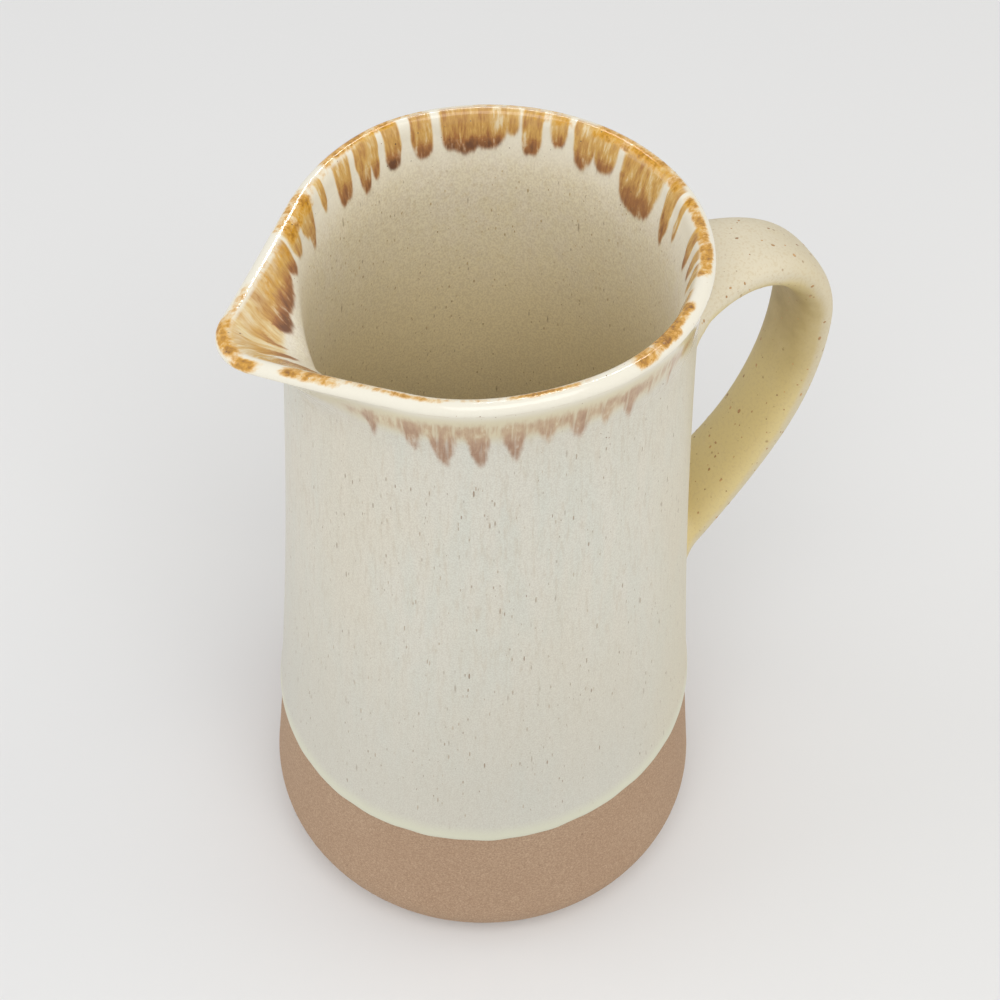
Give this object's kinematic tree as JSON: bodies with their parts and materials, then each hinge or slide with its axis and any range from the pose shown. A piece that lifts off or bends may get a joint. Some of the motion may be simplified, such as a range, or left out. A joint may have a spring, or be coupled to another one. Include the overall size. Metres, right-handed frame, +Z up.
{
  "type": "stoneware jug",
  "caption": "Tapered stoneware jug with a pulled spout, flared lip, bare clay foot and strap handle, for holding and pouring liquids.",
  "frame": {"origin": "centre of the flat resting ring, on the jug's axis", "axes": "+Z up along the jug's axis, +X towards the handle, -X towards the spout"},
  "size_m": [0.1494, 0.1152, 0.2],
  "materials": {
    "bare_clay": "bare fired stoneware, matt and finely sandy",
    "handle_clay": "bare fired stoneware under the glaze",
    "joint_slip": "fired slip, smoothed",
    "cream_glaze": "satin cream glaze with fine brown specks",
    "liner_glaze": "satin olive cream glaze with fine brown specks",
    "rim_glaze": "glossy amber brown glaze that runs",
    "strap_glaze": "satin yellow cream glaze with brown specks"
  },
  "bodies": {
    "root": {"body": "bare_clay", "handle": "handle_clay", "upper_joint_slip": "joint_slip", "lower_joint_slip": "joint_slip", "outer_glaze": "cream_glaze", "liner_glaze": "liner_glaze", "rim_glaze": "rim_glaze", "handle_glaze": "strap_glaze"}
  },
  "joints": []
}
